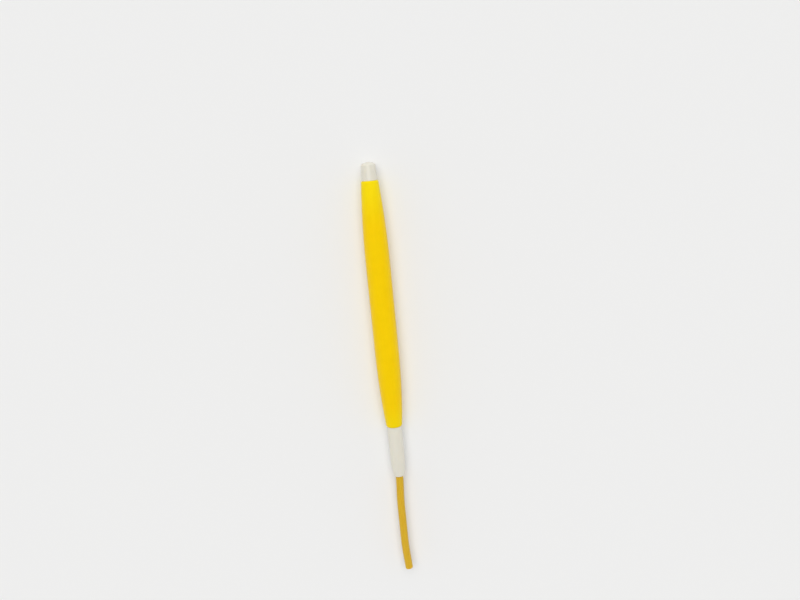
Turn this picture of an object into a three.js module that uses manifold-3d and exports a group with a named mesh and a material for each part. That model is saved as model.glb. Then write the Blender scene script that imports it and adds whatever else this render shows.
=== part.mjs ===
// Scriber needle: a pen-sized craft tool with a moulded handle, a fixed steel point and a slip-on guard.
//
// Frame: millimetres, +Z up. The tool lies on its belly along X with its point towards +X, and its
// guard bows and curls in the XY plane. The origin is on the surface that the tool lies on, under the
// middle of its length.
//
// How it comes apart: the guard pulls off the needle. The white cap and the white holder are pressed
// into the two ends of the yellow barrel on ribbed spigots. The needle is moulded into the holder,
// where two coined flats on its shank keep it from turning or pulling out.

import * as THREE from "three";
import { mergeVertices } from "three/addons/utils/BufferGeometryUtils.js";
import Module from "manifold-3d";

// Barrel
const BARREL_LENGTH = 93;
const BELLY_DIAMETER = 8.9;
const REAR_MOUTH_DIAMETER = 6.15;
const FRONT_MOUTH_DIAMETER = 6;
const REAR_TAPER_LENGTH = 31;
const FRONT_TAPER_LENGTH = 29;
const MOUTH_EDGE_SHARE = 0.65;
const MOUTH_CHAMFER = 0.15;
const SEAT_BORE_DIAMETER = 4.2;
const CORE_BORE_DIAMETER = 3.4;

// Spigots, which press the cap and the holder into the barrel's seat bores
const CAP_SPIGOT_LENGTH = 11;
const HOLDER_SPIGOT_LENGTH = 14;
const SPIGOT_LEAD_IN = 0.5;
const SPIGOT_END_GAP = 0.8;
const RIB_COUNT = 6;
const RIB_HEIGHT = 0.18;
const RIB_WIDTH = 0.4;
const RIB_LEAD_IN = 1.6;
const PRESS_CLEARANCE = 0.03;

// Rear cap
const CAP_LENGTH = 6.5;
const CAP_ROOT_DIAMETER = 5.45;
const CAP_END_DIAMETER = 5.25;
const CAP_CROWN_RADIUS = 4;
const CAP_LAND_DIAMETER = 1.4;
const CAP_EDGE_RADIUS = 0.35;
const CAP_END_WALL = 1.6;
const CAP_CORE_DIAMETER = 2.2;

// Needle holder
const HOLDER_LENGTH = 20.5;
const HOLDER_ROOT_DIAMETER = 5.7;
const HOLDER_WAIST_DIAMETER = 5.55;
const NOSE_TAPER_LENGTH = 8.2;
const NOSE_DIAMETER = 4.05;
const NOSE_EDGE_RADIUS = 0.5;
const HOLDER_CORE_DIAMETER = 2;
const HOLDER_WEB = 3.5;

// Needle
const NEEDLE_DIAMETER = 0.9;
const NEEDLE_EXPOSED = 28;
const NEEDLE_EMBEDDED = 16;
const POINT_LENGTH = 8;
const POINT_TIP_DIAMETER = 0.08;
const POINT_FULLNESS = 0.85;
const ROOT_CHAMFER = 0.15;
const COINED_WIDTH = 1.25;
const COINED_LENGTH = 2.4;
const COINED_PITCH = 4.6;
const COINED_DEPTH = 6;
const MOULDED_CLEARANCE = 0.03;

// Guard, a length of soft tube: it leans across the needle, and bends where the needle no longer holds it
const GUARD_LENGTH = 39.6;
const GUARD_WALL = 0.45;
const GUARD_CLEARANCE = 0.55;
const GUARD_RUB_GAP = 0.1;
const GUARD_LEAN_LENGTH = 12;
const GUARD_END_GAP = 0.2;
const GUARD_BEND_BEFORE_POINT = 2;
const GUARD_BEND_DEGREES = 4.2;
const GUARD_BEND_RADIUS = 110;

// Facets
const ROUND_SEGMENTS = 32;
const NEEDLE_SEGMENTS = 16;
const GUARD_SEGMENTS = 24;
const GUARD_STEPS = 24;
const TAPER_STEPS = 9;
const EDGE_STEPS = 3;
const CROWN_STEPS = 4;
const WELD_DISTANCE = 1e-4;

const bellyRadius = BELLY_DIAMETER / 2;
const seatRadius = SEAT_BORE_DIAMETER / 2;
const ribRadius = seatRadius - PRESS_CLEARANCE;
const spigotRadius = ribRadius - RIB_HEIGHT;
const needleRadius = NEEDLE_DIAMETER / 2;
const guardBoreRadius = needleRadius + GUARD_CLEARANCE;
const guardRadius = guardBoreRadius + GUARD_WALL;

const wasm = await Module();
wasm.setup();

// A closed geometry as a solid that can be joined and cut.
function solidOf(geometry) {
  const bare = geometry.index ? geometry.toNonIndexed() : geometry.clone();
  bare.deleteAttribute("normal");
  bare.deleteAttribute("uv");
  const welded = mergeVertices(bare, WELD_DISTANCE);
  return new wasm.Manifold(
    new wasm.Mesh({
      numProp: 3,
      vertProperties: welded.attributes.position.array,
      triVerts: new Uint32Array(welded.index.array),
    }),
  );
}

// The solid's faces as a geometry again.
function geometryOf(solid) {
  const mesh = solid.getMesh();
  const geometry = new THREE.BufferGeometry();
  geometry.setAttribute("position", new THREE.BufferAttribute(mesh.vertProperties, 3));
  geometry.setIndex(new THREE.BufferAttribute(mesh.triVerts, 1));
  geometry.computeVertexNormals();
  return geometry;
}

// A profile of [radius, height] points turned about Y. The turn starts half a facet round, so that the
// tool lies on a facet and not on a corner.
function revolve(profile) {
  const points = profile.map(([radius, height]) => new THREE.Vector2(radius, height));
  return new THREE.LatheGeometry(points, ROUND_SEGMENTS, Math.PI / ROUND_SEGMENTS);
}

// Points [radius, distance] of an end that leaves its full radius smoothly, slims down to the end radius
// over a length, and finishes with a rounded edge on a square end face.
function slimmingEnd(fullRadius, endRadius, length, edge) {
  const points = [];
  for (let i = 0; i < TAPER_STEPS; i++) {
    const distance = ((length - edge) * i) / TAPER_STEPS;
    points.push([fullRadius - (fullRadius - endRadius) * (distance / length) ** 2, distance]);
  }
  const edgeRadius = fullRadius - (fullRadius - endRadius) * (1 - edge / length) ** 2;
  for (let i = 0; i <= EDGE_STEPS; i++) {
    const angle = (i / EDGE_STEPS) * (Math.PI / 2);
    points.push([edgeRadius - edge * (1 - Math.cos(angle)), length - edge * (1 - Math.sin(angle))]);
  }
  return points;
}

// Points [radius, depth] of a crowned end, from the rim of its flat land, over the crown and the rounded
// edge, to the side.
function crownedEnd(sideRadius, landRadius, crownRadius, edgeRadius) {
  const landAngle = Math.asin(landRadius / crownRadius);
  const edgeAngle = Math.asin((sideRadius - edgeRadius) / (crownRadius - edgeRadius));
  const crownDepth = crownRadius * Math.cos(landAngle);
  const edgeDepth = crownDepth - (crownRadius - edgeRadius) * Math.cos(edgeAngle);
  const points = [];
  for (let i = 0; i <= CROWN_STEPS; i++) {
    const angle = landAngle + ((edgeAngle - landAngle) * i) / CROWN_STEPS;
    points.push([crownRadius * Math.sin(angle), crownDepth - crownRadius * Math.cos(angle)]);
  }
  for (let i = 1; i <= EDGE_STEPS; i++) {
    const angle = edgeAngle + ((Math.PI / 2 - edgeAngle) * i) / EDGE_STEPS;
    const radius = sideRadius - edgeRadius * (1 - Math.sin(angle));
    points.push([radius, edgeDepth - edgeRadius * Math.cos(angle)]);
  }
  return points;
}

// Spigot ribs, as solids that stand from the shoulder at height 0 towards `direction` along Y. Their
// crests are as high as keeps both corners inside the press clearance.
function spigotRibs(length, direction) {
  const root = spigotRadius - RIB_HEIGHT;
  const crest = Math.sqrt(ribRadius ** 2 - (RIB_WIDTH / 2) ** 2);
  const side = new THREE.Shape();
  side.moveTo(root, 0);
  side.lineTo(crest, 0);
  side.lineTo(crest, direction * (length - RIB_LEAD_IN));
  side.lineTo(root, direction * length);
  side.closePath();
  const ribs = [];
  for (let i = 0; i < RIB_COUNT; i++) {
    const rib = new THREE.ExtrudeGeometry(side, { depth: RIB_WIDTH, bevelEnabled: false });
    rib.translate(0, 0, -RIB_WIDTH / 2);
    rib.rotateY((i * 2 * Math.PI) / RIB_COUNT);
    ribs.push(solidOf(rib));
  }
  return ribs;
}

// The barrel's outside towards one mouth, whose edge is rounded over a share of the wall there.
function barrelEnd(mouthRadius, taperLength) {
  const edge = MOUTH_EDGE_SHARE * (mouthRadius - seatRadius);
  return slimmingEnd(bellyRadius, mouthRadius, taperLength, edge);
}

// Barrel: both mouths are slimmer than the belly, and the bore is stepped. Height 0 is the rear mouth.
function barrelGeometry() {
  const frontTaper = BARREL_LENGTH - FRONT_TAPER_LENGTH;
  const frontEnd = barrelEnd(FRONT_MOUTH_DIAMETER / 2, FRONT_TAPER_LENGTH);
  const rearEnd = barrelEnd(REAR_MOUTH_DIAMETER / 2, REAR_TAPER_LENGTH);
  const outside = [
    ...rearEnd.reverse().map(([radius, distance]) => [radius, REAR_TAPER_LENGTH - distance]),
    ...frontEnd.map(([radius, distance]) => [radius, frontTaper + distance]),
  ];
  const rearSeat = CAP_SPIGOT_LENGTH + SPIGOT_END_GAP;
  const frontSeat = BARREL_LENGTH - HOLDER_SPIGOT_LENGTH - SPIGOT_END_GAP;
  const coreRadius = CORE_BORE_DIAMETER / 2;
  const step = seatRadius - coreRadius;
  const inside = [
    [seatRadius + MOUTH_CHAMFER, BARREL_LENGTH],
    [seatRadius, BARREL_LENGTH - MOUTH_CHAMFER],
    [seatRadius, frontSeat],
    [coreRadius, frontSeat - step],
    [coreRadius, rearSeat + step],
    [seatRadius, rearSeat],
    [seatRadius, MOUTH_CHAMFER],
    [seatRadius + MOUTH_CHAMFER, 0],
  ];
  return revolve([...outside, ...inside, outside[0]]);
}

// Rear cap: a drafted stub whose crowned end has a small flat land, cored from its spigot. Height 0 is
// the shoulder, and the stub stands below it.
function capGeometry() {
  const endRadius = CAP_END_DIAMETER / 2;
  const crown = crownedEnd(endRadius, CAP_LAND_DIAMETER / 2, CAP_CROWN_RADIUS, CAP_EDGE_RADIUS);
  const coreRadius = CAP_CORE_DIAMETER / 2;
  const coreEnd = CAP_END_WALL - CAP_LENGTH;
  const profile = [
    [0, -CAP_LENGTH],
    ...crown.map(([radius, depth]) => [radius, depth - CAP_LENGTH]),
    [CAP_ROOT_DIAMETER / 2, 0],
    [spigotRadius, 0],
    [spigotRadius, CAP_SPIGOT_LENGTH - SPIGOT_LEAD_IN],
    [spigotRadius - SPIGOT_LEAD_IN, CAP_SPIGOT_LENGTH],
    [coreRadius, CAP_SPIGOT_LENGTH],
    [coreRadius, coreEnd + coreRadius / 2],
    [0, coreEnd],
  ];
  return geometryOf(wasm.Manifold.union([solidOf(revolve(profile)), ...spigotRibs(CAP_SPIGOT_LENGTH, 1)]));
}

// Half widths [along X, along Z] of the needle at a height above the holder's nose, grown by a
// clearance. Coining squeezes the wire thinner along Z and wider along X, with the same area.
function needleSection(height, grow) {
  const coined = [-COINED_DEPTH, -COINED_DEPTH - COINED_PITCH].map((centre) => {
    const off = Math.min(1, Math.abs(height - centre) / (COINED_LENGTH / 2));
    return Math.cos((off * Math.PI) / 2) ** 2;
  });
  const widening = 1 + (COINED_WIDTH / NEEDLE_DIAMETER - 1) * Math.max(...coined);
  return [needleRadius * widening + grow, needleRadius / widening + grow];
}

// Heights of the rings through both coined flats, from the deeper one up.
function coinedHeights() {
  const heights = [];
  for (const centre of [-COINED_DEPTH - COINED_PITCH, -COINED_DEPTH]) {
    for (const share of [-1, -0.6, -0.25, 0.25, 0.6, 1]) {
      heights.push(centre + (share * COINED_LENGTH) / 2);
    }
  }
  return heights;
}

// Rings [height, half width along X, half width along Z], from the lowest up, closed into one solid form.
function loft(rings) {
  const positions = [0, rings[0][0], 0];
  const index = [];
  for (const [height, halfX, halfZ] of rings) {
    for (let j = 0; j < NEEDLE_SEGMENTS; j++) {
      const angle = (j * 2 * Math.PI) / NEEDLE_SEGMENTS;
      positions.push(halfX * Math.sin(angle), height, halfZ * Math.cos(angle));
    }
  }
  const last = rings.length - 1;
  const topCentre = positions.length / 3;
  positions.push(0, rings[last][0], 0);
  const corner = (i, j) => 1 + i * NEEDLE_SEGMENTS + (j % NEEDLE_SEGMENTS);
  for (let j = 0; j < NEEDLE_SEGMENTS; j++) {
    index.push(0, corner(0, j + 1), corner(0, j));
    for (let i = 0; i < last; i++) {
      index.push(corner(i, j), corner(i, j + 1), corner(i + 1, j));
      index.push(corner(i, j + 1), corner(i + 1, j + 1), corner(i + 1, j));
    }
    index.push(topCentre, corner(last, j), corner(last, j + 1));
  }
  const geometry = new THREE.BufferGeometry();
  geometry.setAttribute("position", new THREE.Float32BufferAttribute(positions, 3));
  geometry.setIndex(index);
  geometry.computeVertexNormals();
  return geometry;
}

// Needle: chamfered root, coined shank, and a ground point a little fuller than a cone. Height 0 is the
// holder's nose.
function needleGeometry() {
  const root = -NEEDLE_EMBEDDED;
  const rings = [
    [root, needleRadius - ROOT_CHAMFER, needleRadius - ROOT_CHAMFER],
    [root + ROOT_CHAMFER, needleRadius, needleRadius],
  ];
  for (const height of coinedHeights()) rings.push([height, ...needleSection(height, 0)]);
  const tipRadius = POINT_TIP_DIAMETER / 2;
  for (let i = TAPER_STEPS; i >= 0; i--) {
    const share = i / TAPER_STEPS;
    const radius = tipRadius + (needleRadius - tipRadius) * share ** POINT_FULLNESS;
    rings.push([NEEDLE_EXPOSED - POINT_LENGTH * share, radius, radius]);
  }
  return loft(rings);
}

// The room that the moulded-in needle takes up in the holder, open at the nose.
function needleRoom() {
  const radius = needleRadius + MOULDED_CLEARANCE;
  const rings = [[-NEEDLE_EMBEDDED - MOULDED_CLEARANCE, radius, radius]];
  for (const height of coinedHeights()) rings.push([height, ...needleSection(height, MOULDED_CLEARANCE)]);
  rings.push([NEEDLE_DIAMETER, radius, radius]);
  return loft(rings);
}

// Needle holder: a ribbed spigot, a slim body and a slimming nose. Height 0 is the shoulder.
function holderGeometry() {
  const waistRadius = HOLDER_WAIST_DIAMETER / 2;
  const nose = slimmingEnd(waistRadius, NOSE_DIAMETER / 2, NOSE_TAPER_LENGTH, NOSE_EDGE_RADIUS);
  const coreRadius = HOLDER_CORE_DIAMETER / 2;
  const coreEnd = HOLDER_LENGTH - NEEDLE_EMBEDDED - HOLDER_WEB;
  const profile = [
    [0, coreEnd],
    [coreRadius, coreEnd - coreRadius / 2],
    [coreRadius, -HOLDER_SPIGOT_LENGTH],
    [spigotRadius - SPIGOT_LEAD_IN, -HOLDER_SPIGOT_LENGTH],
    [spigotRadius, SPIGOT_LEAD_IN - HOLDER_SPIGOT_LENGTH],
    [spigotRadius, 0],
    [HOLDER_ROOT_DIAMETER / 2, 0],
    ...nose.map(([radius, distance]) => [radius, HOLDER_LENGTH - NOSE_TAPER_LENGTH + distance]),
    [0, HOLDER_LENGTH],
  ];
  const body = wasm.Manifold.union([solidOf(revolve(profile)), ...spigotRibs(HOLDER_SPIGOT_LENGTH, -1)]);
  const room = solidOf(needleRoom().translate(0, HOLDER_LENGTH, 0));
  return geometryOf(body.subtract(room));
}

// The guard's centre line, from its end at the holder. It leans to +X until its bore all but rubs on the
// needle, runs along the needle, and from near the point bends gently towards -X into a straight tail.
class GuardLine extends THREE.Curve {
  constructor() {
    super();
    this.bow = GUARD_CLEARANCE - GUARD_RUB_GAP;
    this.bendStart = NEEDLE_EXPOSED - GUARD_END_GAP - GUARD_BEND_BEFORE_POINT;
    this.bend = THREE.MathUtils.degToRad(GUARD_BEND_DEGREES);
  }

  getPoint(share, target = new THREE.Vector3()) {
    const along = share * GUARD_LENGTH;
    const lean = this.bow * THREE.MathUtils.smoothstep(along, 0, GUARD_LEAN_LENGTH);
    const turned = THREE.MathUtils.clamp((along - this.bendStart) / GUARD_BEND_RADIUS, 0, this.bend);
    const tail = Math.max(0, along - this.bendStart - this.bend * GUARD_BEND_RADIUS);
    const aside = GUARD_BEND_RADIUS * (1 - Math.cos(turned)) + tail * Math.sin(turned);
    const beyond = GUARD_BEND_RADIUS * Math.sin(turned) + tail * Math.cos(turned);
    return target.set(lean - aside, Math.min(along, this.bendStart) + beyond, 0);
  }
}

// Guard: a plain length of soft tube with square-cut ends. Height 0 is its end at the holder's nose.
function guardGeometry() {
  const section = new THREE.Shape().absarc(0, 0, guardRadius, 0, 2 * Math.PI, false);
  section.holes.push(new THREE.Path().absarc(0, 0, guardBoreRadius, 0, 2 * Math.PI, true));
  return new THREE.ExtrudeGeometry(section, {
    steps: GUARD_STEPS,
    curveSegments: GUARD_SEGMENTS / 2,
    extrudePath: new GuardLine(),
  });
}

const yellowPlastic = new THREE.MeshStandardMaterial({ color: "#f4cd12", roughness: 0.42, metalness: 0 });
const whitePlastic = new THREE.MeshStandardMaterial({ color: "#e8e4d7", roughness: 0.38, metalness: 0 });
const steel = new THREE.MeshStandardMaterial({ color: "#c6c8ca", roughness: 0.25, metalness: 1 });
const softTube = new THREE.MeshStandardMaterial({ color: "#d5aa34", roughness: 0.5, metalness: 0 });

// A piece at a height along its group's Y axis.
function place(name, geometry, material, height) {
  const mesh = new THREE.Mesh(geometry, material);
  mesh.name = name;
  mesh.position.y = height;
  return mesh;
}

// The tool stands along Y here, with height 0 at the barrel's rear mouth.
const noseHeight = BARREL_LENGTH + HOLDER_LENGTH;
const handle = new THREE.Group();
handle.add(place("barrel", barrelGeometry(), yellowPlastic, 0));
handle.add(place("rear_cap", capGeometry(), whitePlastic, 0));
handle.add(place("needle_holder", holderGeometry(), whitePlastic, BARREL_LENGTH));
handle.add(place("needle", needleGeometry(), steel, noseHeight));

const slider = new THREE.Group();
slider.add(place("needle_guard", guardGeometry(), softTube, noseHeight + GUARD_END_GAP));

// Laid along X on its belly, with the origin under the middle of its length.
const tool = new THREE.Group();
tool.add(handle, slider);
tool.rotation.z = -Math.PI / 2;
const reach = new THREE.Box3().setFromObject(tool);
tool.position.set(-(reach.min.x + reach.max.x) / 2, 0, -reach.min.z);

const part = new THREE.Group();
part.add(tool);
export default part;
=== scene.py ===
"""Studio scene of a scriber needle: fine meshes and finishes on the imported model, light and camera.

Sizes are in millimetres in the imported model's frame, and meshes are made in metres. The tool lies on its
belly along X, with its point towards +X and Z up. In the photograph +X runs down and +Y to the right.
"""

from __future__ import annotations

import logging
import math
from abc import ABC, abstractmethod
from collections.abc import Sequence
from dataclasses import dataclass, field
from enum import Enum
from functools import cache
from typing import Any, ClassVar

import bmesh
import bpy
from mathutils import Matrix, Vector

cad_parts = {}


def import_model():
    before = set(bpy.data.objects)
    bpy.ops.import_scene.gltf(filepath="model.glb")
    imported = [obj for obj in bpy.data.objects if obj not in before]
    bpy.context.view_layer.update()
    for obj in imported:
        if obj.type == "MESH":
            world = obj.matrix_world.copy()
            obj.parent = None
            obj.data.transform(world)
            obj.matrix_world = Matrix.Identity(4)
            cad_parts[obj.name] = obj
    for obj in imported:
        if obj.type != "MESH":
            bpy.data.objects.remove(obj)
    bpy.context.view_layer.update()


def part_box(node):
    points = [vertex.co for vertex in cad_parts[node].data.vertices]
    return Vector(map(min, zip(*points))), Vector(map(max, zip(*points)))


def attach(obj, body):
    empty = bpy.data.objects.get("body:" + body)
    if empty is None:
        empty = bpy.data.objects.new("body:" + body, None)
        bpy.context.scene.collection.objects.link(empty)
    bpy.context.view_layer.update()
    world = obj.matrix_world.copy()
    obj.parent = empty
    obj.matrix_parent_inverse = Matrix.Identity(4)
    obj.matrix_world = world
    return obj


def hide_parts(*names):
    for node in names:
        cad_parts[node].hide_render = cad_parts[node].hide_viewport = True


LOG = logging.getLogger("scriber_needle")
MM = 0.001
SHARP_EDGE = math.radians(32)
TINY = 1e-9

Colour = tuple[float, float, float]
# What each axis of a pattern is multiplied by, so that a small number draws it out along its axis
Stretch = tuple[float, float, float]
# A point of an outline: its radius, and its distance along the tool
Point = tuple[float, float]
Ring = list[Vector]


class Slot(Enum):
    """The record's material slots."""

    YELLOW_PLASTIC = "yellow_plastic"
    WHITE_PLASTIC = "white_plastic"
    NEEDLE_STEEL = "needle_steel"
    GUARD_TUBE = "guard_tube"


class Body(Enum):
    """The bodies that the joint moves against each other."""

    HANDLE = "handle"
    GUARD = "guard"


# Meshes of rings


def round_angles(count: int, seam: float = 0.0) -> list[float]:
    """Angles round a piece from +Y, with one more on each side of both side seams.

    Args:
        count: How many evenly spaced angles there are.
        seam: Half the angle that a seam takes up, or 0 for a piece without seams.

    Returns:
        The angles in radians, in order.
    """
    angles = [2 * math.pi * i / count for i in range(count)]
    if seam:
        angles += [seam, math.pi - seam, math.pi + seam, 2 * math.pi - seam]
    return sorted(angles)


def skin(name: str, rings: Sequence[Ring], tube: bool = False) -> bpy.types.Object:
    """Joins rings of points into one closed mesh.

    Args:
        name: The piece's name.
        rings: Rings with the same number of points, or one point where the skin closes on the axis.
        tube: Whether the last ring joins the first one.

    Returns:
        The object, smooth but for its sharp edges.
    """
    shape = bmesh.new()
    rows = [[shape.verts.new(point * MM) for point in ring] for ring in rings]
    if tube:
        rows.append(rows[0])
    for near, far in zip(rows, rows[1:]):
        count = max(len(near), len(far))
        for i in range(count):
            j = (i + 1) % count
            corners = (near[i % len(near)], far[i % len(far)], far[j % len(far)], near[j % len(near)])
            shape.faces.new(tuple(dict.fromkeys(corners)))
    bmesh.ops.recalc_face_normals(shape, faces=shape.faces)
    mesh = bpy.data.meshes.new(name)
    shape.to_mesh(mesh)
    shape.free()
    mesh.shade_smooth()
    mesh.set_sharp_from_angle(angle=SHARP_EDGE)
    piece = bpy.data.objects.new(name, mesh)
    bpy.context.scene.collection.objects.link(piece)
    return piece


@dataclass(frozen=True)
class Station:
    """One ring of a turned piece: its place along the tool, half sizes, and share of ribs and seams."""

    x: float
    half_width: float
    half_height: float
    rib: float = 0.0
    seam: float = 0.0

    @classmethod
    def round(cls, x: float, radius: float, rib: float = 0.0, seam: float = 0.0) -> Station:
        """A ring that is as wide as it is high."""
        return cls(x, radius, radius, rib, seam)


def edge_arc(centre: Point, radii: Point, steps: int) -> list[Point]:
    """Points of a quarter ellipse, from beside its centre to above it, with its half sizes as its radii."""
    angles = [math.pi / 2 * i / steps for i in range(steps + 1)]
    return [(centre[0] + radii[0] * math.cos(a), centre[1] + radii[1] * math.sin(a)) for a in angles]


@dataclass(frozen=True)
class SlimmingEnd:
    """An end that leaves its full radius smoothly and slims down to a rounded edge."""

    full: float
    end: float
    length: float
    edge: float
    steps: int = 24
    edge_steps: int = 6

    def radius(self, distance: float) -> float:
        """Radius at a distance from where the slimming starts."""
        return self.full - (self.full - self.end) * (distance / self.length) ** 2

    def outline(self) -> list[Point]:
        """Goes from the full radius down the slope and round the edge.

        Returns:
            The points as (radius, distance), up to the end face.
        """
        edge_start = self.length - self.edge
        distances = [edge_start * i / self.steps for i in range(self.steps)]
        slope = [(self.radius(distance), distance) for distance in distances]
        shoulder = self.radius(edge_start) - self.edge
        return slope + edge_arc((shoulder, edge_start), (self.edge, self.edge), self.edge_steps)


@dataclass(frozen=True)
class CrownedEnd:
    """An end with a small flat land, a gentle crown round it and a rounded edge."""

    side: float
    land: float
    crown: float
    edge: float
    crown_steps: int = 10
    edge_steps: int = 8

    def outline(self) -> list[Point]:
        """Goes from the land's rim over the crown and the edge to the side.

        Returns:
            The points as (radius, depth below the land).
        """
        rim = math.asin(self.land / self.crown)
        shoulder = math.asin((self.side - self.edge) / (self.crown - self.edge))
        deep = self.crown * math.cos(rim)
        edge_deep = deep - (self.crown - self.edge) * math.cos(shoulder)
        points = []
        for i in range(self.crown_steps + 1):
            angle = rim + (shoulder - rim) * i / self.crown_steps
            points.append((self.crown * math.sin(angle), deep - self.crown * math.cos(angle)))
        for i in range(1, self.edge_steps + 1):
            angle = shoulder + (math.pi / 2 - shoulder) * i / self.edge_steps
            radius = self.side - self.edge * (1 - math.sin(angle))
            points.append((radius, edge_deep - self.edge * math.cos(angle)))
        return points


@dataclass(frozen=True)
class Spigot:
    """The ribbed plug by which a white piece is pressed into its seat in the barrel."""

    seat_diameter: float = 4.2
    end_gap: float = 0.8
    press_clearance: float = 0.03
    rib_count: int = 6
    rib_height: float = 0.18
    rib_width: float = 0.4
    rib_lead_in: float = 1.6
    rib_end_share: float = 0.2
    lead_in: float = 0.5
    root_fillet: float = 0.12
    fillet_steps: int = 3

    @property
    def radius(self) -> float:
        """Radius between the ribs."""
        return self.seat_diameter / 2 - self.press_clearance - self.rib_height

    def share(self, angle: float) -> float:
        """Tells the ribs from the grooves between them.

        Args:
            angle: A place round the spigot, in radians.

        Returns:
            1 on a rib and 0 between two ribs.
        """
        pitch = 2 * math.pi / self.rib_count
        away = abs((angle + pitch / 2) % pitch - pitch / 2)
        return 1.0 if away * self.radius < self.rib_width / 2 else 0.0

    def stations(self, shoulder: float, end: float) -> list[Station]:
        """Rings over the root's fillet, the ribs and the chamfered end.

        Args:
            shoulder: The place along the tool of the shoulder that the spigot stands on.
            end: The place of the spigot's end.

        Returns:
            The rings, from the shoulder on.
        """
        way = 1 if end > shoulder else -1
        fillet = self.root_fillet
        arc = edge_arc((self.radius + fillet, fillet), (-fillet, -fillet), self.fillet_steps)
        return [
            *(Station.round(shoulder + way * along, radius, rib=1) for radius, along in reversed(arc)),
            Station.round(end - way * self.rib_lead_in, self.radius, rib=1),
            Station.round(end - way * self.lead_in, self.radius, rib=self.rib_end_share),
            Station.round(end, self.radius - self.lead_in),
        ]


# Pieces of the tool


@dataclass(frozen=True)
class NodeBox:
    """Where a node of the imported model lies."""

    low: Vector
    high: Vector

    @classmethod
    @cache
    def of(cls, node: str) -> NodeBox:
        """The box of a named node."""
        low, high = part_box(node)
        return cls(low / MM, high / MM)

    @property
    def axis(self) -> float:
        """Height of the node's axis."""
        return (self.low.z + self.high.z) / 2

    @property
    def radius(self) -> float:
        """Half the node's width."""
        return (self.high.y - self.low.y) / 2


@dataclass
class Piece(ABC):
    """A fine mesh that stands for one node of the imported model."""

    node: ClassVar[str]
    name: ClassVar[str]
    body: ClassVar[Body]
    slot: ClassVar[Slot]

    material: bpy.types.Material

    @property
    def box(self) -> NodeBox:
        """Where the piece's node lies."""
        return NodeBox.of(self.node)

    @abstractmethod
    def build(self) -> bpy.types.Object:
        """Makes the piece's mesh in place."""

    def dress(self, piece: bpy.types.Object) -> None:
        """Gives a mesh its finish, and puts it in its node's place on its body.

        Args:
            piece: The mesh.
        """
        piece.data.materials.append(self.material)
        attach(piece, self.body.value)
        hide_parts(self.node)

    def make(self) -> bpy.types.Object:
        """Builds and dresses the piece.

        Returns:
            The piece.
        """
        piece = self.build()
        self.dress(piece)
        return piece


@dataclass
class TurnedPiece(Piece):
    """A piece that is round about the tool's axis, apart from ribs, seams and flats."""

    segments: int = 120
    seam_height: float = 0.02
    seam_width: float = 0.14
    corner_break: float = 0.08
    core_point_share: float = 0.5
    spigot: Spigot = field(default_factory=Spigot)

    def turn(self, stations: Sequence[Station], tube: bool = False) -> bpy.types.Object:
        """Makes the mesh through a list of rings.

        Args:
            stations: The rings along the outline. One with no size is a point on the axis.
            tube: Whether the outline closes on itself.

        Returns:
            The mesh.
        """
        widest = max(station.half_width for station in stations)
        angles = round_angles(self.segments, self.seam_width / 2 / widest)
        return skin(self.name, [self.ring(station, angles) for station in stations], tube)

    def ring(self, station: Station, angles: Sequence[float]) -> Ring:
        """Places the points of one ring.

        Args:
            station: The ring's place and size.
            angles: Where the points are, round the axis from +Y.

        Returns:
            The points, or one point where the ring has no size.
        """
        axis = self.box.axis
        if station.half_width <= 0:
            return [Vector((station.x, 0, axis))]
        points = []
        for angle in angles:
            on_seam = abs(math.sin(angle)) < TINY
            proud = station.rib * self.spigot.rib_height * self.spigot.share(angle)
            proud += station.seam * self.seam_height * on_seam
            across = (station.half_width + proud) * math.cos(angle)
            up = (station.half_height + proud) * math.sin(angle)
            points.append(Vector((station.x, across, axis + up)))
        return points


@dataclass
class Barrel(TurnedPiece):
    """The yellow handle: a hollow moulding with slim mouths, a full belly and a stepped bore."""

    node: ClassVar[str] = "barrel"
    name: ClassVar[str] = "handle_barrel"
    body: ClassVar[Body] = Body.HANDLE
    slot: ClassVar[Slot] = Slot.YELLOW_PLASTIC

    rear_mouth_diameter: float = 6.15
    front_mouth_diameter: float = 6.0
    rear_taper: float = 31.0
    front_taper: float = 29.0
    mouth_edge_share: float = 0.65
    mouth_chamfer: float = 0.15
    core_diameter: float = 3.4

    def end(self, mouth: float, taper: float) -> SlimmingEnd:
        """The outside towards a mouth of a given radius, over the length of its taper."""
        edge = self.mouth_edge_share * (mouth - self.spigot.seat_diameter / 2)
        return SlimmingEnd(self.box.radius, mouth, taper, edge)

    def outside(self) -> list[Station]:
        """Goes along the outside, which carries the seams.

        Returns:
            The rings, from the rear mouth to the front one.
        """
        rear = self.end(self.rear_mouth_diameter / 2, self.rear_taper).outline()
        front = self.end(self.front_mouth_diameter / 2, self.front_taper).outline()
        belly_rear = self.box.low.x + self.rear_taper
        belly_front = self.box.high.x - self.front_taper
        stations = [Station.round(belly_rear - along, radius, seam=1) for radius, along in reversed(rear)]
        return stations + [Station.round(belly_front + along, radius, seam=1) for radius, along in front]

    def inside(self) -> list[Station]:
        """Goes through the stepped bore, whose wide ends are the spigots' seats.

        Returns:
            The rings, from the front mouth to the rear one.
        """
        bore, core = self.spigot.seat_diameter / 2, self.core_diameter / 2
        step = bore - core
        rear, front = self.box.low.x, self.box.high.x
        rear_seat_end = NodeBox.of(RearCap.node).high.x + self.spigot.end_gap
        front_seat_end = NodeBox.of(NeedleHolder.node).low.x - self.spigot.end_gap
        outline = [
            (front, bore + self.mouth_chamfer),
            (front - self.mouth_chamfer, bore),
            (front_seat_end, bore),
            (front_seat_end - step, core),
            (rear_seat_end + step, core),
            (rear_seat_end, bore),
            (rear + self.mouth_chamfer, bore),
            (rear, bore + self.mouth_chamfer),
        ]
        return [Station.round(x, radius) for x, radius in outline]

    def build(self) -> bpy.types.Object:
        """Makes the outside and the bore as one closed wall."""
        return self.turn(self.outside() + self.inside(), tube=True)


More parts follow.
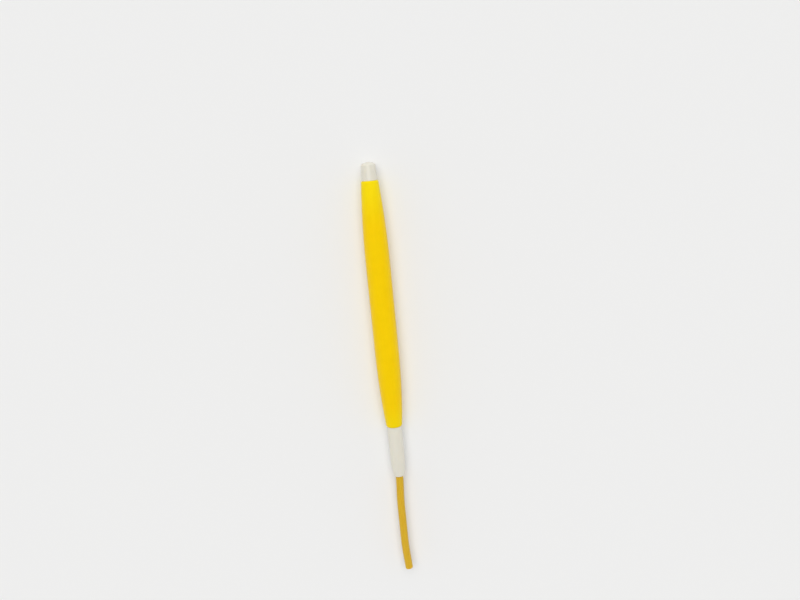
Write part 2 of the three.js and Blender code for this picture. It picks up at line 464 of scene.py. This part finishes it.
@dataclass
class RearCap(TurnedPiece):
    """The white end plug: a drafted stub with a crowned end, cored from its ribbed spigot."""

    node: ClassVar[str] = "rear_cap"
    name: ClassVar[str] = "end_plug"
    body: ClassVar[Body] = Body.HANDLE
    slot: ClassVar[Slot] = Slot.WHITE_PLASTIC

    root_diameter: float = 5.45
    end_diameter: float = 5.25
    land_diameter: float = 1.4
    crown_radius: float = 4.0
    edge: float = 0.35
    end_wall: float = 1.6
    core_diameter: float = 2.2
    gate_diameter: float = 1.1
    gate_depth: float = 0.06
    gate_draft: float = 0.08
    nub_diameter: float = 0.5
    nub_draft: float = 0.06

    def gate(self) -> list[Station]:
        """Goes over the moulding gate's shallow dimple and its nub, in the end land.

        Returns:
            The rings, from the axis out.
        """
        end = self.box.low.x
        floor = end + self.gate_depth
        nub_top = floor - self.gate_depth / 2
        nub, rim = self.nub_diameter / 2, self.gate_diameter / 2
        outline = [
            (nub_top, 0),
            (nub_top, nub),
            (floor, nub + self.nub_draft),
            (floor, rim - self.gate_draft),
            (end, rim),
        ]
        return [Station.round(x, radius) for x, radius in outline]

    def build(self) -> bpy.types.Object:
        """Makes the stub, the spigot and the core as one closed body.

        Returns:
            The mesh.
        """
        end, spigot_end = self.box.low.x, self.box.high.x
        shoulder = NodeBox.of(Barrel.node).low.x
        crown = CrownedEnd(self.end_diameter / 2, self.land_diameter / 2, self.crown_radius, self.edge)
        root, core = self.root_diameter / 2, self.core_diameter / 2
        core_end = end + self.end_wall
        return self.turn(
            [
                *self.gate(),
                *(Station.round(end + depth, radius) for radius, depth in crown.outline()),
                Station.round(shoulder - self.corner_break, root),
                Station.round(shoulder, root - self.corner_break),
                *self.spigot.stations(shoulder, spigot_end),
                Station.round(spigot_end, core),
                Station.round(core_end + self.core_point_share * core, core),
                Station.round(core_end, 0),
            ]
        )


@dataclass(frozen=True)
class Shank:
    """The needle's wire, with two coined flats that hold it in the moulding."""

    diameter: float = 0.9
    coined_width: float = 1.25
    coined_length: float = 2.4
    coined_pitch: float = 4.6
    coined_depth: float = 6.0
    steps: int = 8

    def centres(self) -> Point:
        """How deep below the nose the two flats are, the deeper one first."""
        return self.coined_depth + self.coined_pitch, self.coined_depth

    def station(self, nose: float, depth: float, grow: float) -> Station:
        """The wire's ring at a depth.

        Args:
            nose: The nose's place along the tool.
            depth: How far below the nose the ring is.
            grow: Room left round the wire.

        Returns:
            The ring, wider and thinner where the wire is coined.
        """
        away = min(abs(depth - centre) / (self.coined_length / 2) for centre in self.centres())
        coined = math.cos(min(1.0, away) * math.pi / 2) ** 2
        widening = 1 + (self.coined_width / self.diameter - 1) * coined
        radius = self.diameter / 2
        return Station(nose - depth, radius * widening + grow, radius / widening + grow)

    def stations(self, nose: float, grow: float) -> list[Station]:
        """Goes along the wire through both flats.

        Args:
            nose: The nose's place along the tool.
            grow: Room left round the wire.

        Returns:
            The rings, from the deeper flat up.
        """
        rings = []
        for centre in self.centres():
            for i in range(self.steps + 1):
                depth = centre + self.coined_length * (0.5 - i / self.steps)
                rings.append(self.station(nose, depth, grow))
        return rings


@dataclass
class NeedleHolder(TurnedPiece):
    """The white nose: a ribbed spigot and a slim body, moulded round the needle."""

    node: ClassVar[str] = "needle_holder"
    name: ClassVar[str] = "nose_moulding"
    body: ClassVar[Body] = Body.HANDLE
    slot: ClassVar[Slot] = Slot.WHITE_PLASTIC

    root_diameter: float = 5.7
    waist_diameter: float = 5.55
    nose_taper: float = 8.2
    nose_diameter: float = 4.05
    nose_edge: float = 0.5
    core_diameter: float = 2.0
    web: float = 3.5
    clearance: float = 0.03
    shank: Shank = field(default_factory=Shank)

    @property
    def hole_radius(self) -> float:
        """Radius of the needle's hole, away from the coined flats."""
        return self.shank.diameter / 2 + self.clearance

    def outside(self) -> list[Station]:
        """Goes along the body, which carries the seams, and round the nose into the needle's hole.

        Returns:
            The rings, from the shoulder to the hole.
        """
        shoulder, nose = NodeBox.of(Barrel.node).high.x, self.box.high.x
        root, waist, end = self.root_diameter / 2, self.waist_diameter / 2, self.nose_diameter / 2
        taper = SlimmingEnd(waist, end, self.nose_taper, self.nose_edge)
        taper_start = nose - self.nose_taper
        return [
            Station.round(shoulder, root - self.corner_break),
            Station.round(shoulder + self.corner_break, root, seam=1),
            *(Station.round(taper_start + along, radius, seam=1) for radius, along in taper.outline()),
            Station.round(nose, self.hole_radius + self.corner_break),
            Station.round(nose - self.corner_break, self.hole_radius),
        ]

    def build(self) -> bpy.types.Object:
        """Makes the core, the spigot, the body and the needle's room as one closed body.

        Returns:
            The mesh.
        """
        shoulder, spigot_end = NodeBox.of(Barrel.node).high.x, self.box.low.x
        needle_root = NodeBox.of(Needle.node).low.x
        core = self.core_diameter / 2
        core_end = needle_root - self.web
        bottom = needle_root - self.clearance
        return self.turn(
            [
                Station.round(core_end, 0),
                Station.round(core_end - self.core_point_share * core, core),
                Station.round(spigot_end, core),
                *reversed(self.spigot.stations(shoulder, spigot_end)),
                *self.outside(),
                *reversed(self.shank.stations(self.box.high.x, self.clearance)),
                Station.round(bottom, self.hole_radius),
                Station.round(bottom, 0),
            ]
        )


@dataclass
class Needle(TurnedPiece):
    """The steel needle: drawn wire with a ground point that is a little fuller than a cone."""

    node: ClassVar[str] = "needle"
    name: ClassVar[str] = "scribing_point"
    body: ClassVar[Body] = Body.HANDLE
    slot: ClassVar[Slot] = Slot.NEEDLE_STEEL

    segments: int = 48
    seam_width: float = 0.0
    point_length: float = 8.0
    point_steps: int = 22
    fullness: float = 0.85
    tip_diameter: float = 0.08
    tip_angles: tuple[float, ...] = (0.35, 0.7, 1.1)
    root_chamfer: float = 0.15
    shank: Shank = field(default_factory=Shank)

    def build(self) -> bpy.types.Object:
        """Makes the shank, its coined flats and the point as one closed body.

        Returns:
            The mesh.
        """
        root, end = self.box.low.x, self.box.high.x
        nose = NodeBox.of(NeedleHolder.node).high.x
        radius, tip = self.shank.diameter / 2, self.tip_diameter / 2
        stations = [
            Station.round(root, 0),
            Station.round(root, radius - self.root_chamfer),
            Station.round(root + self.root_chamfer, radius),
            *self.shank.stations(nose, 0.0),
        ]
        for i in range(self.point_steps + 1):
            share = 1 - i / self.point_steps
            away = tip + (self.point_length - tip) * share
            stations.append(Station.round(end - away, tip + (radius - tip) * share**self.fullness))
        for angle in self.tip_angles:
            stations.append(Station.round(end - tip + tip * math.sin(angle), tip * math.cos(angle)))
        return self.turn(stations + [Station.round(end, 0)])


@dataclass
class NeedleGuard(Piece):
    """The guard: a soft tube that leans across the needle and bends gently from near its point."""

    node: ClassVar[str] = "needle_guard"
    name: ClassVar[str] = "slip_on_guard"
    body: ClassVar[Body] = Body.GUARD
    slot: ClassVar[Slot] = Slot.GUARD_TUBE

    length: float = 39.6
    diameter: float = 2.9
    bore: float = 2.0
    rub_gap: float = 0.1
    lean_length: float = 12.0
    bend_before_point: float = 2.0
    bend_radius: float = 110.0
    bend_degrees: float = 4.2
    cut_edge: float = 0.05
    nudge: float = 0.01
    segments: int = 64
    steps: int = 96

    @property
    def lean(self) -> float:
        """How far the tube leans across the needle, which leaves the rub gap between them."""
        return (self.bore - Shank.diameter) / 2 - self.rub_gap

    @property
    def bend_start(self) -> float:
        """Where the bend starts along the centre line."""
        return NodeBox.of(Needle.node).high.x - self.bend_before_point - self.box.low.x

    def middle(self, along: float) -> Point:
        """Where the centre line is.

        Args:
            along: The way gone from the end at the nose.

        Returns:
            The place (forwards, sideways towards +Y) from the start of the centre line.
        """
        share = min(1.0, along / self.lean_length)
        # A smooth step, level at both ends
        lean = self.lean * share * share * (3 - 2 * share)
        bend = math.radians(self.bend_degrees)
        turned = min(max((along - self.bend_start) / self.bend_radius, 0.0), bend)
        tail = max(0.0, along - self.bend_start - bend * self.bend_radius)
        aside = self.bend_radius * (1 - math.cos(turned)) + tail * math.sin(turned)
        beyond = self.bend_radius * math.sin(turned) + tail * math.cos(turned)
        return min(along, self.bend_start) + beyond, aside - lean

    def ring(self, along: float, radius: float) -> Ring:
        """Places the points of a ring square to the centre line.

        Args:
            along: The way gone along the centre line from the end at the nose.
            radius: The ring's radius.

        Returns:
            The points.
        """
        forward, side = self.middle(along)
        ahead, beside = self.middle(along + self.nudge)
        behind, before = self.middle(along - self.nudge)
        tangent = Vector((ahead - behind, beside - before, 0)).normalized()
        across = Vector((-tangent.y, tangent.x, 0))
        up = Vector((0, 0, 1))
        centre = Vector((self.box.low.x + forward, side, self.box.axis))
        angles = round_angles(self.segments)
        return [centre + radius * (math.cos(angle) * across + math.sin(angle) * up) for angle in angles]

    def build(self) -> bpy.types.Object:
        """Makes the outside, both cut ends and the bore as one closed wall.

        Returns:
            The mesh.
        """
        outer, inner = self.diameter / 2, self.bore / 2
        edge = self.cut_edge
        span = self.length - 2 * edge
        places = [edge + span * i / self.steps for i in range(self.steps + 1)]
        rings = [
            self.ring(0, outer - edge),
            *(self.ring(along, outer) for along in places),
            self.ring(self.length, outer - edge),
            self.ring(self.length, inner + edge),
            *(self.ring(along, inner) for along in reversed(places)),
            self.ring(0, inner + edge),
        ]
        return skin(self.name, rings, tube=True)


# Shader trees and the effects that materials share


class Tree:
    """Adds nodes to a shader tree and joins them."""

    def __init__(self, tree: bpy.types.NodeTree) -> None:
        """Takes the tree to add to."""
        self.tree = tree

    def add(self, kind: str, inputs: dict[str | int, Any] | None = None, **settings: Any) -> bpy.types.Node:
        """Adds one node.

        Args:
            kind: Blender's name for the kind of node.
            inputs: A value or a socket to join for each input, by its name or place.
            settings: The node's own options.

        Returns:
            The node.
        """
        node = self.tree.nodes.new(kind)
        for option, value in settings.items():
            setattr(node, option, value)
        for key, value in (inputs or {}).items():
            if isinstance(value, bpy.types.NodeSocket):
                self.tree.links.new(value, node.inputs[key])
            else:
                node.inputs[key].default_value = value
        return node

    def math(self, operation: str, *values: Any) -> bpy.types.NodeSocket:
        """Adds a Math node on values or sockets, and returns its result."""
        return self.add("ShaderNodeMath", dict(enumerate(values)), operation=operation).outputs[0]

    # The inputs of a Mix node for each type of data have the same names, so they are given by place

    def mix_colours(self, share: Any, first: Any, second: Any) -> bpy.types.NodeSocket:
        """Mixes two colours by a share, and returns the colour."""
        return self.add("ShaderNodeMix", {0: share, 6: first, 7: second}, data_type="RGBA").outputs[2]

    def mix_values(self, share: Any, first: Any, second: Any) -> bpy.types.NodeSocket:
        """Mixes two values by a share, and returns the value."""
        return self.add("ShaderNodeMix", {0: share, 2: first, 3: second}, data_type="FLOAT").outputs[0]

    def ramp(self, value: Any, low: float, high: float) -> bpy.types.NodeSocket:
        """Carries a value smoothly from 0 at low to 1 at high."""
        limits = {"Value": value, "From Min": low, "From Max": high}
        return self.add("ShaderNodeMapRange", limits, interpolation_type="SMOOTHSTEP").outputs[0]

    def place(self, stretch: Stretch = (1, 1, 1)) -> bpy.types.NodeSocket:
        """Finds the place on the piece in millimetres.

        Args:
            stretch: What each axis is multiplied by.

        Returns:
            The place.
        """
        coordinates = self.add("ShaderNodeTexCoord").outputs["Object"]
        scale = tuple(share / MM for share in stretch)
        return self.add("ShaderNodeVectorMath", {0: coordinates, 1: scale}, operation="MULTIPLY").outputs[0]

    def along(self) -> bpy.types.NodeSocket:
        """The place along the tool in millimetres."""
        return self.add("ShaderNodeSeparateXYZ", {0: self.place()}).outputs["X"]

    def noise(
        self, scale: Any, detail: float, stretch: Stretch = (1, 1, 1), distortion: float = 0.0
    ) -> bpy.types.NodeSocket:
        """Adds a noise pattern over the piece, with its scale per millimetre, and returns its value."""
        inputs = {"Vector": self.place(stretch), "Scale": scale, "Detail": detail, "Distortion": distortion}
        return self.add("ShaderNodeTexNoise", inputs).outputs[0]

    def bump(self, height: Any, relief: float) -> bpy.types.NodeSocket:
        """The normal of a height pattern that stands a number of millimetres proud."""
        return self.add("ShaderNodeBump", {"Height": height, "Distance": relief * MM}).outputs[0]

    def surface(self, inputs: dict[str, Any]) -> None:
        """Adds a Principled shader with these inputs as the material's surface."""
        shader = self.add("ShaderNodeBsdfPrincipled", inputs)
        self.add("ShaderNodeOutputMaterial", {"Surface": shader.outputs[0]})


class Effect:
    """A shader node group that more than one material uses."""

    def __init__(self, name: str, inputs: dict[str, Any], outputs: dict[str, str]) -> None:
        """Starts the group with its sockets.

        Args:
            name: The group's name.
            inputs: The default of each input, a number or a colour.
            outputs: The socket type of each output.
        """
        self.group = bpy.data.node_groups.new(name, "ShaderNodeTree")
        for label, default in inputs.items():
            kind = "NodeSocketFloat" if isinstance(default, (int, float)) else "NodeSocketColor"
            socket = self.group.interface.new_socket(label, in_out="INPUT", socket_type=kind)
            socket.default_value = default
        for label, kind in outputs.items():
            self.group.interface.new_socket(label, in_out="OUTPUT", socket_type=kind)
        self.tree = Tree(self.group)
        self.inputs = self.tree.add("NodeGroupInput").outputs

    def close(self, outputs: dict[str, bpy.types.NodeSocket]) -> bpy.types.ShaderNodeTree:
        """Joins the group's outputs and returns the group."""
        self.tree.add("NodeGroupOutput", outputs)
        return self.group


@cache
def moulded_skin() -> bpy.types.ShaderNodeTree:
    """The skin of moulded or drawn plastic: cloudy colour, streaks along the tool and a fine grain.

    Returns:
        The group, with the outputs Color, Mottle and Height.
    """
    drawn_out = (0.04, 1, 1)
    noise_middle = 0.5
    streak_relief = 0.5
    inputs = {"Color": (0.8, 0.8, 0.8, 1.0), "Cloud Size": 3.0, "Clouds": 0.03, "Streaks": 0.02}
    outputs = {"Color": "NodeSocketColor", "Mottle": "NodeSocketFloat", "Height": "NodeSocketFloat"}
    effect = Effect("Moulded skin", inputs, outputs)
    tree, given = effect.tree, effect.inputs
    clouds = tree.noise(scale=tree.math("DIVIDE", 1.0, given["Cloud Size"]), detail=3.0)
    streaks = tree.noise(scale=1.6, detail=2.0, stretch=drawn_out)
    grain = tree.noise(scale=6.0, detail=2.0)
    cloudy = tree.math("MULTIPLY", tree.math("SUBTRACT", clouds, noise_middle), given["Clouds"])
    streaky = tree.math("MULTIPLY", tree.math("SUBTRACT", streaks, noise_middle), given["Streaks"])
    level = tree.math("ADD", tree.math("ADD", cloudy, streaky), 1.0)
    colour = tree.add("ShaderNodeVectorMath", {0: given["Color"], "Scale": level}, operation="SCALE")
    height = tree.math("ADD", grain, tree.math("MULTIPLY", streaks, streak_relief))
    return effect.close({"Color": colour.outputs[0], "Mottle": clouds, "Height": height})


@cache
def handling_wear() -> bpy.types.ShaderNodeTree:
    """Fine rub marks from handling and packing.

    Returns:
        The group, with the outputs Mask, which is 0 beside a mark and the amount on it, and Height.
    """
    drawn_out = (0.5, 2, 2)
    patch_edge = (0.52, 0.7)
    scratch_edge = (0.56, 0.6)
    inputs = {"Amount": 0.5, "Mark Size": 2.0}
    effect = Effect("Handling wear", inputs, {"Mask": "NodeSocketFloat", "Height": "NodeSocketFloat"})
    tree, given = effect.tree, effect.inputs
    patches = tree.noise(scale=tree.math("DIVIDE", 1.0, given["Mark Size"]), detail=2.0)
    scratches = tree.noise(scale=3.0, detail=4.0, stretch=drawn_out, distortion=1.2)
    marks = tree.math("MULTIPLY", tree.ramp(patches, *patch_edge), tree.ramp(scratches, *scratch_edge))
    mask = tree.math("MULTIPLY", marks, given["Amount"])
    return effect.close({"Mask": mask, "Height": tree.math("SUBTRACT", 1.0, mask)})


def new_material(name: str) -> tuple[bpy.types.Material, Tree]:
    """Makes an empty material.

    Args:
        name: The material's name.

    Returns:
        The material and its tree.
    """
    material = bpy.data.materials.new(name)
    material.use_nodes = True
    material.node_tree.nodes.clear()
    return material, Tree(material.node_tree)


def opaque(colour: Colour) -> tuple[float, float, float, float]:
    """A colour with full alpha."""
    return (*colour, 1.0)


# Finishes


@dataclass(frozen=True, kw_only=True)
class Plastic:
    """A moulded or drawn plastic: satin, a little cloudy, and lit from within near its surface."""

    slot: Slot
    colour: Colour
    roughness: float
    # How strongly the skin shines at a right angle, and the colour of that shine
    specular: float
    sheen: Colour = (1.0, 1.0, 1.0)
    # How much light comes back from within, and from how deep, for each colour
    glow: float
    glow_depth: Colour
    # A clear gloss over the skin
    gloss: float = 0.0
    gloss_roughness: float = 0.2
    # How much the colour varies in clouds and in streaks, and the clouds' size
    clouds: float = 0.08
    streaks: float = 0.05
    cloud_size: float = 3.0
    # How much the roughness varies with the clouds, how strong the marks are and how much rougher
    patches: float = 0.16
    wear: float = 0.6
    rub: float = 0.2
    # Height of the grain, and of the marks as a share of it
    relief: float = 0.007
    wear_relief: float = 0.5

    def tint(self, tree: Tree) -> Any:
        """The colour before clouds and streaks."""
        return opaque(self.colour)

    def material(self) -> bpy.types.Material:
        """Builds the finish's shader.

        Returns:
            The material.
        """
        material, tree = new_material(self.slot.value)
        given = {
            "Color": self.tint(tree),
            "Cloud Size": self.cloud_size,
            "Clouds": self.clouds,
            "Streaks": self.streaks,
        }
        moulded = tree.add("ShaderNodeGroup", given, node_tree=moulded_skin()).outputs
        worn = tree.add("ShaderNodeGroup", {"Amount": self.wear}, node_tree=handling_wear()).outputs
        smoothest = self.roughness - self.patches / 2
        cloudy = tree.math("MULTIPLY_ADD", moulded["Mottle"], self.patches, smoothest)
        height = tree.math("MULTIPLY_ADD", worn["Height"], self.wear_relief, moulded["Height"])
        tree.surface(
            {
                "Base Color": moulded["Color"],
                "Roughness": tree.math("MULTIPLY_ADD", worn["Mask"], self.rub, cloudy),
                "Specular IOR Level": self.specular,
                "Specular Tint": opaque(self.sheen),
                "Coat Weight": self.gloss,
                "Coat Roughness": self.gloss_roughness,
                "Subsurface Weight": self.glow,
                "Subsurface Radius": self.glow_depth,
                "Subsurface Scale": MM,
                "Normal": tree.bump(height, self.relief),
            }
        )
        return material


@dataclass(frozen=True, kw_only=True)
class BackedAndLitPlastic(Plastic):
    """Plastic that shows lighter towards its thin mouths: partly a white spigot behind the wall, partly
    painted light, stronger at the better lit rear mouth.
    """

    backed_and_lit_colour: Colour
    rear_mouth: float
    front_mouth: float
    # How far the lighter tone reaches from each mouth, and its share at the front; the rear's longer,
    # fuller reach is painted light for the better lit rear end
    rear_lit_reach: float = 18.0
    front_lit_reach: float = 11.0
    front_lit_share: float = 0.65

    def tint(self, tree: Tree) -> Any:
        """Mixes the belly's colour with the lighter one towards both mouths, which is partly painted light,
        more of it at the rear.

        Args:
            tree: The material's tree.

        Returns:
            The colour before clouds and streaks.
        """
        along = tree.along()
        rear = tree.ramp(along, self.rear_mouth + self.rear_lit_reach, self.rear_mouth)
        front = tree.ramp(along, self.front_mouth - self.front_lit_reach, self.front_mouth)
        # The lighter tone near the mouths, partly painted light: fuller at the rear mouth, where the rear
        # end is better lit
        backed_and_lit = tree.math("MULTIPLY_ADD", front, self.front_lit_share, rear)
        return tree.mix_colours(backed_and_lit, opaque(self.colour), opaque(self.backed_and_lit_colour))


@dataclass(frozen=True, kw_only=True)
class GroundSteel:
    """Drawn steel wire, bright, with fine grinding marks round its point."""

    slot: Slot
    colour: Colour = (0.48, 0.485, 0.5)
    roughness: float = 0.27
    # Where the drawn lines give way to the ground rings, and over how far to each side
    point_start: float
    point_blend: float = 0.3
    # How fine the lines and the rings are, and how far they are drawn out
    line_scale: float = 14.0
    ring_scale: float = 16.0
    line_stretch: float = 0.05
    # How much the tone and the roughness vary with them, and their height
    tone_spread: float = 0.16
    rough_spread: float = 0.12
    relief: float = 0.003
    # How strong the marks of handling are, and how much rougher
    wear: float = 0.5
    rub: float = 0.1

    def material(self) -> bpy.types.Material:
        """Builds the finish's shader.

        Returns:
            The material.
        """
        material, tree = new_material(self.slot.value)
        worn = tree.add("ShaderNodeGroup", {"Amount": self.wear}, node_tree=handling_wear()).outputs
        lines = tree.noise(self.line_scale, detail=2.0, stretch=(self.line_stretch, 1, 1))
        rings = tree.noise(self.ring_scale, detail=2.0, stretch=(1, self.line_stretch, self.line_stretch))
        start, blend = self.point_start, self.point_blend
        marks = tree.mix_values(tree.ramp(tree.along(), start - blend, start + blend), lines, rings)
        tone = tree.math("MULTIPLY_ADD", marks, self.tone_spread, 1 - self.tone_spread / 2)
        toned = tree.add("ShaderNodeVectorMath", {0: self.colour, "Scale": tone}, operation="SCALE")
        rough = tree.math("MULTIPLY_ADD", marks, self.rough_spread, self.roughness - self.rough_spread / 2)
        tree.surface(
            {
                "Base Color": toned.outputs[0],
                "Metallic": 1.0,
                "Roughness": tree.math("MULTIPLY_ADD", worn["Mask"], self.rub, rough),
                "Normal": tree.bump(marks, self.relief),
            }
        )
        return material


def finishes() -> dict[Slot, bpy.types.Material]:
    """Builds the finish of every material slot.

    Returns:
        The materials by their slots.
    """
    barrel, needle = NodeBox.of(Barrel.node), NodeBox.of(Needle.node)
    # Lighter and more lemon towards both mouths: partly the white spigots behind the wall, partly painted
    # light at the better lit rear
    yellow = BackedAndLitPlastic(
        slot=Slot.YELLOW_PLASTIC,
        colour=(0.91, 0.605, 0.003),
        backed_and_lit_colour=(0.91, 0.7, 0.006),
        rear_mouth=barrel.low.x,
        front_mouth=barrel.high.x,
        roughness=0.42,
        specular=0.25,
        sheen=(1.0, 0.75, 0.05),
        glow=0.1,
        glow_depth=(1.0, 0.6, 0.1),
    )
    white = Plastic(
        slot=Slot.WHITE_PLASTIC,
        colour=(0.735, 0.706, 0.605),
        roughness=0.34,
        specular=0.5,
        gloss=0.4,
        glow=0.25,
        glow_depth=(1.2, 1.0, 0.8),
        clouds=0.05,
        streaks=0.04,
        relief=0.005,
    )
    steel = GroundSteel(slot=Slot.NEEDLE_STEEL, point_start=needle.high.x - Needle.point_length)
    tube = Plastic(
        slot=Slot.GUARD_TUBE,
        colour=(0.655, 0.405, 0.026),
        roughness=0.5,
        specular=0.3,
        sheen=(1.0, 0.8, 0.3),
        glow=0.3,
        glow_depth=(1.0, 0.6, 0.15),
        clouds=0.13,
        streaks=0.1,
        cloud_size=1.2,
    )
    return {finish.slot: finish.material() for finish in (yellow, white, steel, tube)}


# Camera, floor and light


@dataclass(frozen=True)
class PhotoCamera:
    """The photograph's view: from above the tool's rear half, tipped a little towards its point."""

    focal_length: float = 35.0
    sensor_width: float = 36.0
    nearest: float = 10.0
    tip_degrees: float = 12.6
    turn_degrees: float = 5.35
    # Where the camera sees the tool's rear end, along its own three ways
    rear_end_right: float = -11.44
    rear_end_down: float = -48.8
    rear_end_ahead: float = 275.1

    def make(self, rear_end: Vector) -> bpy.types.Object:
        """Makes the scene's camera.

        Args:
            rear_end: The rear end of the tool's axis, which the camera is placed from.

        Returns:
            The camera.
        """
        tip, turn = math.radians(self.tip_degrees), math.radians(self.turn_degrees)
        right = Vector((math.sin(turn), math.cos(turn), 0))
        down = Vector((math.cos(turn) * math.cos(tip), -math.sin(turn) * math.cos(tip), math.sin(tip)))
        ahead = right.cross(down)
        to_rear_end = self.rear_end_right * right + self.rear_end_down * down + self.rear_end_ahead * ahead
        lens = bpy.data.cameras.new("photo_camera")
        lens.sensor_width = self.sensor_width
        lens.lens = self.focal_length
        lens.clip_start = self.nearest * MM
        camera = bpy.data.objects.new("photo_camera", lens)
        turned = Matrix((right, -down, -ahead)).transposed().to_4x4()
        camera.matrix_world = Matrix.Translation((rear_end - to_rear_end) * MM) @ turned
        bpy.context.scene.collection.objects.link(camera)
        bpy.context.scene.camera = camera
        return camera


@dataclass(frozen=True)
class Studio:
    """A plain pale floor under a sky that is brighter near the horizon, and a broad key from the rear."""

    floor_colour: Colour = (0.86, 0.86, 0.855)
    floor_roughness: float = 0.9
    floor_specular: float = 0.1
    floor_size: float = 12000.0
    # The sky's strength high up and at the horizon, and the sine of the height between them
    sky_level: float = 0.36
    horizon_level: float = 1.05
    horizon_band: float = 0.6
    background: float = 0.84
    key_strength: float = 1.92
    key_angle: float = 60.0
    key_towards: tuple[float, float, float] = (0.42, 0.02, -0.907)

    def floor(self) -> bpy.types.Object:
        """Lays the floor that the tool rests on.

        Returns:
            The floor.
        """
        half = self.floor_size / 2 * MM
        mesh = bpy.data.meshes.new("floor")
        corners = [(-half, -half, 0), (half, -half, 0), (half, half, 0), (-half, half, 0)]
        mesh.from_pydata(corners, [], [(0, 1, 2, 3)])
        material, tree = new_material("pale_floor")
        tree.surface(
            {
                "Base Color": opaque(self.floor_colour),
                "Roughness": self.floor_roughness,
                "Specular IOR Level": self.floor_specular,
            }
        )
        mesh.materials.append(material)
        floor = bpy.data.objects.new("floor", mesh)
        bpy.context.scene.collection.objects.link(floor)
        return floor

    def sky(self) -> None:
        """Makes the even light all round, which looks like the floor to the camera."""
        world = bpy.data.worlds.new("studio")
        world.use_nodes = True
        world.node_tree.nodes.clear()
        tree = Tree(world.node_tree)
        path = tree.add("ShaderNodeLightPath").outputs
        seen = tree.math("MAXIMUM", path["Is Camera Ray"], path["Is Glossy Ray"])
        seen = tree.math("MAXIMUM", seen, path["Is Transmission Ray"])
        way = tree.add("ShaderNodeTexCoord").outputs["Generated"]
        height = tree.add("ShaderNodeSeparateXYZ", {0: way}).outputs["Z"]
        levels = {
            "Value": height,
            "From Min": 0.0,
            "From Max": self.horizon_band,
            "To Min": self.horizon_level,
            "To Max": self.sky_level,
        }
        level = tree.add("ShaderNodeMapRange", levels).outputs[0]
        light = tree.add("ShaderNodeBackground", {"Color": (1, 1, 1, 1), "Strength": level})
        grey = opaque((self.background,) * 3)
        backdrop = tree.add("ShaderNodeBackground", {"Color": grey, "Strength": 1.0})
        mixed = tree.add("ShaderNodeMixShader", {0: seen, 1: light.outputs[0], 2: backdrop.outputs[0]})
        tree.add("ShaderNodeOutputWorld", {"Surface": mixed.outputs[0]})
        bpy.context.scene.world = world

    def key(self) -> None:
        """Makes the broad key lamp."""
        light = bpy.data.lights.new("key", "SUN")
        light.energy = self.key_strength
        light.angle = math.radians(self.key_angle)
        lamp = bpy.data.objects.new("key", light)
        lamp.rotation_euler = Vector(self.key_towards).to_track_quat("-Z", "Y").to_euler()
        bpy.context.scene.collection.objects.link(lamp)

    def make(self) -> None:
        """Makes the floor, the sky and the key lamp."""
        self.floor()
        self.sky()
        self.key()


def main() -> None:
    """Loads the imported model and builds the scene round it."""
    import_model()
    logging.basicConfig(level=logging.INFO, format="%(message)s")
    rear_end = NodeBox.of(RearCap.node)
    camera = PhotoCamera().make(Vector((rear_end.low.x, 0, rear_end.axis)))
    LOG.info("camera: %.0f mm above the floor", camera.location.z / MM)
    dressing = finishes()
    for kind in (RearCap, Barrel, NeedleHolder, Needle, NeedleGuard):
        piece = kind(dressing[kind.slot]).make()
        LOG.info("%s: %d faces in place of %s", piece.name, len(piece.data.polygons), kind.node)
    Studio().make()
    LOG.info("studio: floor, sky and key lamp")
    scene = bpy.context.scene
    scene.view_settings.view_transform = "Standard"


if __name__ == "__main__":
    main()
